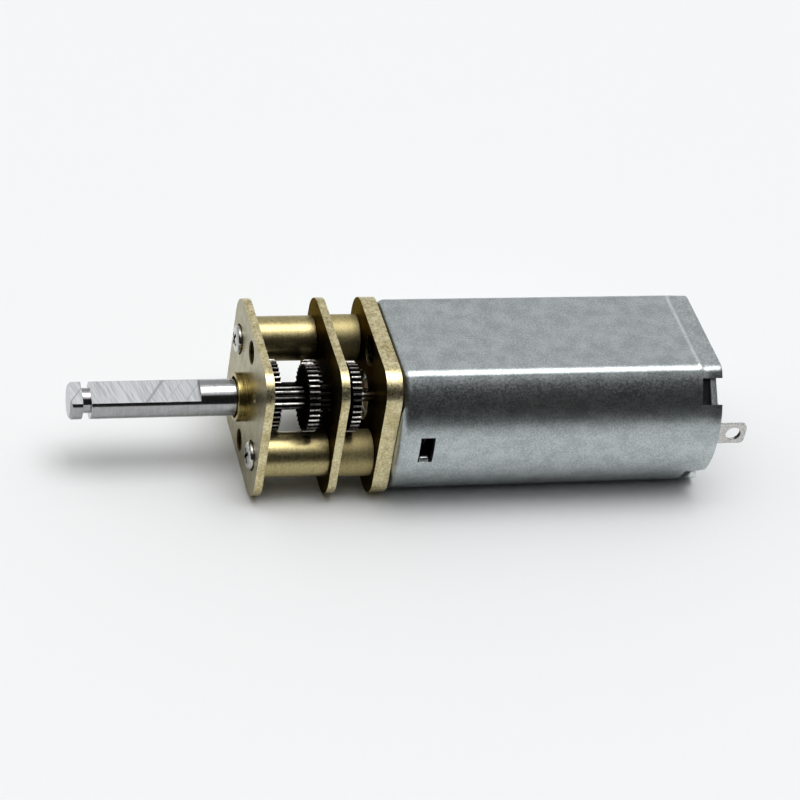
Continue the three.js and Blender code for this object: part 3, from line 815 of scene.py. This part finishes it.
TOOTH_MODULE = 0.15
PRESSURE_ANGLE = math.radians(20)
DEDENDUM = 1.25
BACKLASH = 0.02
FLANK_STEPS = 4
ROOT_FILLET = 0.02
HUB = {"radius": 0.55, "overlap": 0.1, "edge": 0.03}
WHEEL = {"edge": 0.015, "land": 0.05}  # the land is how deep from a tooth's tip the plain steel reaches; the rest of the gear carries painted shade
PINION = {"edge": 0.012, "land": 0.1}
GEAR_WELD = 0.001
SIDE_FACE = 0.9  # a gear's face turned at least this squarely along X is a side
SHARP = math.radians(50)  # rounds only the sharpest edges
TEETH = {
    "motor_pinion": 12,
    "first_wheel": 36,
    "first_pinion": 11,
    "second_wheel": 37,
    "second_pinion": 13,
    "third_wheel": 35,
    "third_pinion": 10,
    "output_gear": 38,
}
LAY_DIRECTION = math.atan2(LAY_AXIS[1] - MAIN_AXIS[1], LAY_AXIS[0] - MAIN_AXIS[0])


def involute(angle):
    return math.tan(angle) - angle


def tooth_half_angle(teeth, radius):
    pitch_radius = TOOTH_MODULE * teeth / 2
    base_radius = pitch_radius * math.cos(PRESSURE_ANGLE)
    slope = math.acos(min(1, base_radius / radius))
    at_pitch = math.pi / (2 * teeth) - BACKLASH / 2 / pitch_radius
    return at_pitch + involute(PRESSURE_ANGLE) - involute(slope)


def gear_outline(teeth, turn, axis):
    """A spur gear with involute flanks, whose first tooth points at the turn angle."""
    pitch_radius = TOOTH_MODULE * teeth / 2
    root = pitch_radius - DEDENDUM * TOOTH_MODULE
    tip = pitch_radius + TOOTH_MODULE
    start = max(root + ROOT_FILLET, pitch_radius * math.cos(PRESSURE_ANGLE))
    flank = [start + (tip - start) * step / FLANK_STEPS for step in range(FLANK_STEPS + 1)]
    points = []
    for tooth in range(teeth):
        centre = turn + 2 * math.pi * tooth / teeth
        half_root = tooth_half_angle(teeth, start) + ROOT_FILLET / root
        sides = [(root, -half_root)] + [(r, -tooth_half_angle(teeth, r)) for r in flank]
        sides += [(radius, -angle) for radius, angle in reversed(sides)]
        for radius, angle in sides:
            direction = centre + angle
            points.append((axis[0] + radius * math.cos(direction), axis[1] + radius * math.sin(direction)))
    return points


def gear_turn(node):
    """The angle of a tooth: wheels put a gap, and pinions a tooth, on the line between the axes."""
    on_lay = AXIS_OF[BODY_OF[node]] == LAY_AXIS
    toward_other = LAY_DIRECTION + (math.pi if on_lay else 0)
    is_wheel = "wheel" in node or node == "output_gear"
    return toward_other + (math.pi / TEETH[node] if is_wheel else 0)


def toothed(node, x_from, x_to, bore, edge):
    """Teeth with rounded edges round a plain bore."""
    axis = AXIS_OF[BODY_OF[node]]
    body = pulled(node + "_fine", gear_outline(TEETH[node], gear_turn(node), axis), x_from, x_to)
    cut(body, hole_tool(x_from - PAST, x_to + PAST, bore, axis))
    return bevelled(clean(body, GEAR_WELD), edge, angle=SHARP)


def shaded_below_land(body, node, land):
    """Keeps the first material on the tooth tips, as deep as the land, and puts the second, painted shade,
    elsewhere.
    """
    bright_from = TOOTH_MODULE * (TEETH[node] / 2 + 1) - land
    axis = AXIS_OF[BODY_OF[node]]

    def in_shade(face):
        return from_axis(face, axis) <= bright_from or abs(face.normal.x) >= SIDE_FACE

    second_material(body, in_shade)


def wheel(node, bore):
    body = toothed(node, *span(node, "X"), bore, WHEEL["edge"])
    shaded_below_land(stand_for(body, node, GEAR_STEEL, SHADED_STEEL), node, WHEEL["land"])


def pinion(node, wheel_node, bore, land):
    """A pinion with plain steel tips as deep as the land and painted shade below, and the plain hub behind it that
    carries its wheel.
    """
    low, high = span(node, "X")
    axis = AXIS_OF[BODY_OF[node]]
    teeth_end = span(wheel_node, "X")[0] - GAP
    body = toothed(node, low, teeth_end, bore, PINION["edge"])
    hub_from = teeth_end - HUB["overlap"]
    join(body, ring("hub", hub_from, high, HUB["radius"], bore, axis, HUB["edge"], SMALL_STEPS))
    shaded_below_land(stand_for(body, node, GEAR_STEEL, SHADED_STEEL), node, land)


def gears():
    arbor = bore_for("lay_arbor")  # the output shaft's tail is as thick
    motor = bore_for("motor_shaft")
    for node in ("first_wheel", "second_wheel", "third_wheel"):
        wheel(node, HUB["radius"] + GAP)
    wheel("output_gear", SHAFT_SEAT["radius"] + GAP)
    # with no land, these two pinions carry painted shade all over
    pinion("first_pinion", "first_wheel", arbor, 0)
    pinion("second_pinion", "second_wheel", arbor, 0)
    pinion("third_pinion", "third_wheel", arbor, PINION["land"])
    node = "motor_pinion"
    stand_for(toothed(node, *span(node, "X"), motor, PINION["edge"]), node, BRASS_TURNED)


# ---------- Output shaft ----------

SHAFT_FLAT = {"from_axis": 1.0, "end": -3.9, "turn": math.radians(14)}
GROOVE = {"radius": 1.0, "front": -13.38, "back": -12.7}
SHAFT_SEAT = {"shoulder": 1.0, "radius": 1.1, "end": 2.45}
SHAFT = {"tip_chamfer": 0.2, "steps": 128, "edge": 0.03}
WASHER_EDGE = 0.02
ALONG_FLAT = 0.999  # a face whose normal is this near the flat's own belongs to it


def output_shaft():
    low, high = span("output_shaft", "X")
    radius = radius_of("output_shaft")
    tail = radius_of("lay_arbor")
    groove_front, groove_back = behind(GROOVE["front"]), behind(GROOVE["back"])
    shoulder, seat_end = behind(SHAFT_SEAT["shoulder"]), behind(SHAFT_SEAT["end"])
    profile = [
        (low, 0),
        (low, radius - SHAFT["tip_chamfer"], 0.05),
        (low + SHAFT["tip_chamfer"], radius, 0.08),
        (groove_front, radius, 0.04),
        (groove_front, GROOVE["radius"], 0.06),
        (groove_back, GROOVE["radius"], 0.06),
        (groove_back, radius, 0.04),
        (shoulder, radius),
        (shoulder, SHAFT_SEAT["radius"]),
        (seat_end, SHAFT_SEAT["radius"]),
        (seat_end, tail),
        (high, tail, 0.08),
        (high, 0),
    ]
    shaft = revolve("output_shaft_fine", profile, steps=SHAFT["steps"])
    up = MAIN_AXIS[1]
    above = (up + SHAFT_FLAT["from_axis"], up + 2 * radius)
    tool = block("tool", (low - PAST, behind(SHAFT_FLAT["end"])), (-2 * radius, 2 * radius), above)
    cut(shaft, turned_about(tool, MAIN_AXIS, SHAFT_FLAT["turn"]))
    stand_for(bevelled(clean(shaft), SHAFT["edge"]), "output_shaft", SHAFT_STEEL, GROUND_FLAT)
    normal = Vector((0, -math.sin(SHAFT_FLAT["turn"]), math.cos(SHAFT_FLAT["turn"])))
    second_material(shaft, lambda face: face.normal.dot(normal) > ALONG_FLAT)


def thrust_washer():
    node = "thrust_washer"
    bore = bore_for("output_shaft")
    washer = ring(node + "_fine", *span(node, "X"), radius_of(node), bore, soften=WASHER_EDGE)
    stand_for(washer, node, SHAFT_STEEL)


# ---------- Motor can ----------

CAN = {"radius": 7.75, "half_height": 6.0, "edge": 1.05, "least_edge": 0.2, "wall": 0.6, "bevel": 0.05}
CAN_FRONT = {"at": 11.09, "edge": 0.8, "steps": 8, "inner_edge": 0.4}
CAN_NOSE = {"radius": 2.0, "edge": 0.1}
CAN_RIDGE = {"front": RIDGE_TOP - 0.2, "rise": 0.04, "rise_width": 0.2, "fall_width": 0.35, "steps": 4}
CAN_LOWER = 0.05  # how much lower the flats are behind the ridge
RIM_EDGE = ((0.04, 0.03), (0.0, 0.12))  # the rim's outer rounding: how far from the end, and how far in
RIM_INNER = 0.05
CAN_SLOT = {"front": 12.8, "back": 14.0, "height": 2.4, "up": 0.2}
CRIMP = {"front": 36.5, "tab": 37.3, "open": 37.88, "angle": math.radians(35), "width": 2.2}
DENT = {"depth": 0.14, "spread": math.radians(11), "start": 0.05, "end": 0.15, "steps": 6}
# How far in from the can's side the outer and inner faces of a crimped tab are, at its two ends.
TAB = {"high": (0.14, 0.7), "low": (0.58, 0.8), "overlap": 0.1, "edge": 0.12}
LANCE = {"front": 0.12, "back": 0.22, "outer": 0.1, "bent": 0.22, "inner": 0.62, "edge": 0.16}
LANCE_UP = {"root": -0.25, "bent": 0.34, "top": 0.4}
QUARTER_STEPS = 40
SIDE_SHARE = 0.45  # of a quarter's points, those on the round side
EDGE_SHARE = 0.3  # those on the rounded edge; the flat has the rest


def can_section(inset, flat_inset=0.0):
    """The can's section as (y, z) points, spread evenly along its outline.

    It is a circle with flats above and below, and rounded edges where they meet.
    """
    edge = max(CAN["edge"] - inset / 2, CAN["least_edge"])
    radius = CAN["radius"] - inset
    half_height = CAN["half_height"] - inset - flat_inset
    edge_up = half_height - edge
    edge_across = math.sqrt((radius - edge) ** 2 - edge_up**2)
    meet = math.atan2(edge_up, edge_across)
    shares = [step / QUARTER_STEPS for step in range(QUARTER_STEPS)]
    quarter = [quarter_point(share, radius, edge, edge_across, edge_up, meet) for share in shares]
    right = [*quarter, (0.0, half_height)]
    left = [(-y, z) for y, z in reversed(quarter)]
    upper = right + left
    lower = [(-y, -z) for y, z in upper[1:-1]]
    y, z = MAIN_AXIS
    return [(y + dy, z + dz) for dy, dz in upper + lower]


def quarter_point(share, radius, edge, edge_across, edge_up, meet):
    """The point at that share of the upper right quarter: first the side, then the edge and the flat."""
    edge_end = SIDE_SHARE + EDGE_SHARE
    if share < SIDE_SHARE:
        angle = meet * share / SIDE_SHARE
        return (radius * math.cos(angle), radius * math.sin(angle))
    if share < edge_end:
        angle = meet + (math.pi / 2 - meet) * (share - SIDE_SHARE) / EDGE_SHARE
        return (edge_across + edge * math.cos(angle), edge_up + edge * math.sin(angle))
    along = (share - edge_end) / (1 - edge_end)
    return (edge_across * (1 - along), edge_up + edge)


def can_circle(radius, around):
    """A circle with its points at the same angles as a section's."""
    y, z = MAIN_AXIS
    points = []
    for py, pz in around:
        direction = Vector((py - y, pz - z)).normalized() * radius
        points.append((y + direction.x, z + direction.y))
    return points


def lofted(name, rings):
    """Rings of (x, points) joined into one closed skin, the last to the first."""
    vertices = [(x, y, z) for x, points in rings for y, z in points]
    count = len(rings[0][1])
    faces = []
    for index in range(len(rings)):
        first = index * count
        second = (index + 1) % len(rings) * count
        for step in range(count):
            after = (step + 1) % count
            faces.append([first + step, first + after, second + after, second + step])
    return mesh_object(name, vertices, faces)


def crimp_angles():
    near = CRIMP["angle"]
    return (near, -near, math.pi - near, math.pi + near)


def dented(points, depth):
    """A section pressed in softly round the four crimped tabs."""
    y, z = MAIN_AXIS
    moved = []
    for py, pz in points:
        outward = Vector((py - y, pz - z))
        angle = math.atan2(outward.y, outward.x)
        away = min(abs(math.remainder(angle - crimp, 2 * math.pi)) for crimp in crimp_angles())
        press = depth * math.exp(-((away / DENT["spread"]) ** 2))
        outward -= outward.normalized() * press
        moved.append((y + outward.x, z + outward.y))
    return moved


def eased(steps):
    """Shares of the way from 0 to 1, each with a value that starts and ends its rise gently."""
    shares = [step / steps for step in range(steps + 1)]
    return [(share, share * share * (3 - 2 * share)) for share in shares]


def front_rings(outline, bore):
    """The can's nose, its front and the rounded edge round it."""
    front, nose = behind(CAN_FRONT["at"]), span("motor_can", "X")[0]
    radius, chamfer = CAN_NOSE["radius"], CAN_NOSE["edge"]
    rings = [(nose, can_circle(bore, outline)), (nose, can_circle(radius - chamfer, outline))]
    rings += [(nose + chamfer, can_circle(radius, outline)), (front, can_circle(radius, outline))]
    for step in range(CAN_FRONT["steps"] + 1):
        angle = math.pi / 2 * step / CAN_FRONT["steps"]
        inset = CAN_FRONT["edge"] * (1 - math.sin(angle))
        rings.append((front + CAN_FRONT["edge"] * (1 - math.cos(angle)), can_section(inset)))
    return rings


def ridge_rings():
    """The low ridge pressed across the flats near the rim, and the step down behind it."""
    start, rise = behind(CAN_RIDGE["front"]), CAN_RIDGE["rise"]
    width = CAN_RIDGE["rise_width"]
    shares = eased(CAN_RIDGE["steps"])
    rings = [(start + width * share, can_section(0, -rise * lift)) for share, lift in shares]
    for share, drop in shares[1:]:
        level = -rise + (rise + CAN_LOWER) * drop
        rings.append((start + width + CAN_RIDGE["fall_width"] * share, can_section(0, level)))
    return rings


def rim_rings(start, back):
    """The wall from there to the rear rim, pressed in more and more round the crimps."""
    rings = []
    for share, press in eased(DENT["steps"]):
        place = start + (back - DENT["end"] - start) * share
        rings.append((place, dented(can_section(0, CAN_LOWER), DENT["depth"] * press)))
    for from_end, inset in RIM_EDGE:
        rings.append((back - from_end, dented(can_section(inset, CAN_LOWER), DENT["depth"])))
    return rings


def inner_rings(outline, bore, back):
    """The can's inside, from the rear rim to the bearing bore."""
    wall, corner = CAN["wall"], CAN_FRONT["inner_edge"]
    front = behind(CAN_FRONT["at"]) + wall
    rings = [(back, can_section(wall - RIM_INNER)), (back - RIM_INNER, can_section(wall))]
    rings += [(front + corner, can_section(wall)), (front, can_section(wall + corner))]
    return rings + [(front, can_circle(CAN_NOSE["radius"], outline)), (front, can_circle(bore, outline))]


def can_rings():
    """The can's skin from its bearing bore over the outside to the rim, and back along the inside."""
    back = span("motor_can", "X")[1]
    outline = can_section(0)
    bore = bore_for("front_bearing")
    rings = front_rings(outline, bore) + ridge_rings()
    rings += rim_rings(rings[-1][0] + DENT["start"], back)
    return rings + inner_rings(outline, bore, back)


def slot_tool():
    reach = CAN["radius"] + PAST
    x = (behind(CAN_SLOT["front"]), behind(CAN_SLOT["back"]))
    centre = MAIN_AXIS[1] + CAN_SLOT["up"]
    half = CAN_SLOT["height"] / 2
    return block("tool", x, (-reach, reach), (centre - half, centre + half))


def crimp_tools():
    """Opens the wall over the end cap's edge at four places, out through the rim."""
    back = span("motor_can", "X")[1] + PAST
    y, z = MAIN_AXIS
    half = CRIMP["width"] / 2
    inner, outer = y + CAN["radius"] - CAN["wall"] - PAST, y + CAN["radius"] + PAST
    tool = (behind(CRIMP["front"]), back), (inner, outer), (z - half, z + half)
    return [turned_about(block("tool", *tool), MAIN_AXIS, angle) for angle in crimp_angles()]


def crimp_tabs():
    """The tabs bent down on to the end cap in those openings, each joined to the opening's sides."""
    y, z = MAIN_AXIS
    outer = y + CAN["radius"]
    side = CRIMP["width"] / 2 + TAB["overlap"]
    x = (behind(CRIMP["tab"]), behind(CRIMP["open"]))
    tabs = []
    for angle in crimp_angles():
        toward_flat = side if math.sin(angle) * math.cos(angle) > 0 else -side
        outline = [(outer - depth, z - toward_flat) for depth in TAB["high"]]
        outline += [(outer - depth, z + toward_flat) for depth in reversed(TAB["low"])]
        tabs.append(turned_about(bevelled(pulled("tab", outline, *x), TAB["edge"], 3), MAIN_AXIS, angle))
    return tabs


def lance():
    """The tongue of wall that is bent in at the lower end of each slot."""
    y, z = MAIN_AXIS
    foot = z + CAN_SLOT["up"] - CAN_SLOT["height"] / 2
    root, bent, top = (foot + LANCE_UP[place] for place in ("root", "bent", "top"))
    x = (behind(CAN_SLOT["front"] + LANCE["front"]), behind(CAN_SLOT["back"] - LANCE["back"]))
    tongues = []
    for side in (-1, 1):
        depths = (LANCE[place] for place in ("outer", "bent", "inner"))
        outer, elbow, inner = (y + side * (CAN["radius"] - depth) for depth in depths)
        outline = [(outer, root), (outer, foot), (elbow, bent), (inner, top), (inner, root)]
        tongues.append(bevelled(pulled("tongue", outline, *x), LANCE["edge"], 4))
    return tongues


def motor_can():
    body = lofted("motor_can_fine", can_rings())
    cut(body, slot_tool(), *crimp_tools())
    join(body, *lance(), *crimp_tabs())
    stand_for(bevelled(clean(body), CAN["bevel"], angle=SHARP), "motor_can", CAN_STEEL)


# ---------- End cap and terminals ----------

END_CAP = {"back": 37.75, "play": 0.05, "edge": 0.08}
BOSS = {"radius": 2.3, "taper": 0.25, "edge": 0.15}
TERMINAL = {"thickness": 0.35, "corner": 0.4, "hole": 0.65, "hole_from_end": 1.1, "shank_end": 37.8}
TERMINAL_EDGE = 0.05
CORNER_STEPS = 8


def end_cap():
    node = "end_cap"
    low, high = span(node, "X")
    cap_back = behind(END_CAP["back"])
    boss, boss_from = BOSS["radius"], cap_back - PAST
    body = pulled(node + "_fine", can_section(CAN["wall"] + END_CAP["play"]), low, cap_back)
    knob = [(boss_from, 0), (boss_from, boss), (high, boss - BOSS["taper"], BOSS["edge"]), (high, 0)]
    join(body, revolve("boss", knob))
    bearing_end = span("rear_bearing", "X")[1] + GAP
    tools = [hole_tool(low - PAST, bearing_end, bore_for("rear_bearing"), MAIN_AXIS)]
    tools.append(hole_tool(bearing_end - PAST, high + PAST, bore_for("motor_shaft"), MAIN_AXIS))
    for terminal in ("terminal_left", "terminal_right"):
        spans = (span(terminal, "Y"), span(terminal, "Z"))
        y, z = ((start - GAP, end + GAP) for start, end in spans)
        tools.append(block("tool", (low - PAST, cap_back + PAST), y, z))
    cut(body, *tools)
    stand_for(bevelled(clean(body), END_CAP["edge"]), node, BLACK_PLASTIC)


def blade(name, node):
    """A flat blade on edge with rounded rear corners and a wire hole."""
    x_low, x_high = span(node, "X")
    y, z = centre(node)
    half = size(node, "Z") / 2
    corner = TERMINAL["corner"]
    outline = [(x_low, half), (x_low, -half)]
    outline += arc(x_high - corner, corner - half, corner, -math.pi / 2, 0, CORNER_STEPS)
    outline += arc(x_high - corner, half - corner, corner, 0, math.pi / 2, CORNER_STEPS)
    thin = TERMINAL["thickness"] / 2
    near, far = ([(x, side, z + up) for x, up in outline] for side in (y - thin, y + thin))
    obj = prism(name, near, far)
    hole = hole_tool(-PAST, PAST, TERMINAL["hole"], (0, 0))
    hole.data.transform(Matrix.Rotation(math.pi / 2, 4, "Z"))
    hole.data.transform(Matrix.Translation((x_high - TERMINAL["hole_from_end"], y, z)))
    return cut(obj, hole)


def terminals():
    for node in ("terminal_left", "terminal_right"):
        piece = blade(node + "_fine", node)
        shank_x = (span(node, "X")[0], behind(TERMINAL["shank_end"]))
        join(piece, block("shank", shank_x, span(node, "Y"), span(node, "Z")))
        stand_for(bevelled(clean(piece), TERMINAL_EDGE), node, TINNED)


# ---------- Inside the can ----------

# The finish of each CAD node whose name starts like this; the longest match counts.
INNER_FINISHES = {
    "magnet": FERRITE,
    "armature": CORE_STEEL,
    "winding": WOUND_COPPER,
    "commutator_bar": COPPER,
    "commutator_holder": BLACK_PLASTIC,
    "brush": CARBON,
    "brush_arm": COPPER,
    "shaft_collar": BLACK_PLASTIC,
    "front_bearing": BRONZE,
    "rear_bearing": BRONZE,
}


def inner_finishes():
    """Finishes the CAD nodes inside the can, whose shapes stay."""
    for node, obj in frame["nodes"].items():
        matches = [start for start in INNER_FINISHES if node.startswith(start)]
        if matches:
            obj.data.materials.clear()
            obj.data.materials.append(INNER_FINISHES[max(matches, key=len)])


# ---------- Stage ----------

CAMERA = {"distance": 0.22805, "azimuth": -19.195, "elevation": 37.058, "roll": 10.485, "lens": 125.0}
CAMERA_TARGET = Vector((-0.00042, -0.00027, 0.00565))
CAMERA_CLIP = 0.01
FLOOR = {"far": 3.0, "near": -0.085}
GAMMA = 0.9
# The radiance of each part of the room, and where along its direction one gives way to the next.
SKY = {"box": 5.2, "halo": 1.3, "wall": 0.67, "front": 0.03}
SKY_FADE = {"box": (0.93, 0.972), "halo": (0.72, 0.9), "wall": (-0.35, 0.05)}
SKY_AXIS = Vector((0.12, 0.02, 1.0)).normalized()  # where the softbox is
SKY_TINT = (1.0, 1.005, 1.01)


def camera():
    data = bpy.data.cameras.new("camera")
    data.lens = CAMERA["lens"]
    data.clip_start = CAMERA_CLIP
    obj = bpy.data.objects.new("camera", data)
    tilt = math.pi / 2 - math.radians(CAMERA["elevation"])
    turns = ((math.radians(CAMERA["azimuth"]), "Z"), (tilt, "X"), (math.radians(CAMERA["roll"]), "Z"))
    place = Matrix.Translation(CAMERA_TARGET)
    for angle, axis in turns:
        place = place @ Matrix.Rotation(angle, 4, axis)
    obj.matrix_world = place @ Matrix.Translation((0, 0, CAMERA["distance"]))
    bpy.context.scene.collection.objects.link(obj)
    bpy.context.scene.camera = obj


def floor():
    """White paper that ends in front of the part, just out of the picture."""
    far, near = FLOOR["far"], FLOOR["near"]
    mesh = bpy.data.meshes.new("floor")
    mesh.from_pydata([(-far, near, 0), (far, near, 0), (far, far, 0), (-far, far, 0)], [], [[0, 1, 2, 3]])
    obj = bpy.data.objects.new("floor", mesh)
    bpy.context.scene.collection.objects.link(obj)
    mesh.materials.append(PAPER)


def studio():
    """A pale room: a softbox overhead, a grey wall behind the part and the dark side with the camera."""
    world = bpy.data.worlds.new("studio")
    bpy.context.scene.world = world
    world.use_nodes = True
    sky = Nodes(world.node_tree)
    direction = sky.add("ShaderNodeTexCoord", "Generated", {})
    overhead = sky.add("ShaderNodeVectorMath", "Value", {0: direction, 1: SKY_AXIS}, operation="DOT_PRODUCT")
    places = {"wall": sky.split(direction, "Y"), "halo": sky.split(direction, "Z"), "box": overhead}
    radiance = SKY["front"]
    for part, place in places.items():
        to = (radiance, SKY[part])
        radiance = sky.remap(place, SKY_FADE[part], to, interpolation_type="SMOOTHSTEP")
    background = world.node_tree.nodes["Background"]
    sky.feed(background.inputs["Strength"], radiance)
    sky.feed(background.inputs["Color"], SKY_TINT)


camera()
floor()
studio()
bpy.context.scene.view_settings.view_transform = "Standard"
bpy.context.scene.view_settings.gamma = GAMMA

front_plate()
middle_plate()
rear_plate()
spacers()
output_bush()
screws()
pin("lay_arbor", LAY_AXIS, softness=0.08)
gears()
output_shaft()
thrust_washer()
motor_can()
end_cap()
terminals()
pin("motor_shaft", MAIN_AXIS, softness=0.1)
inner_finishes()
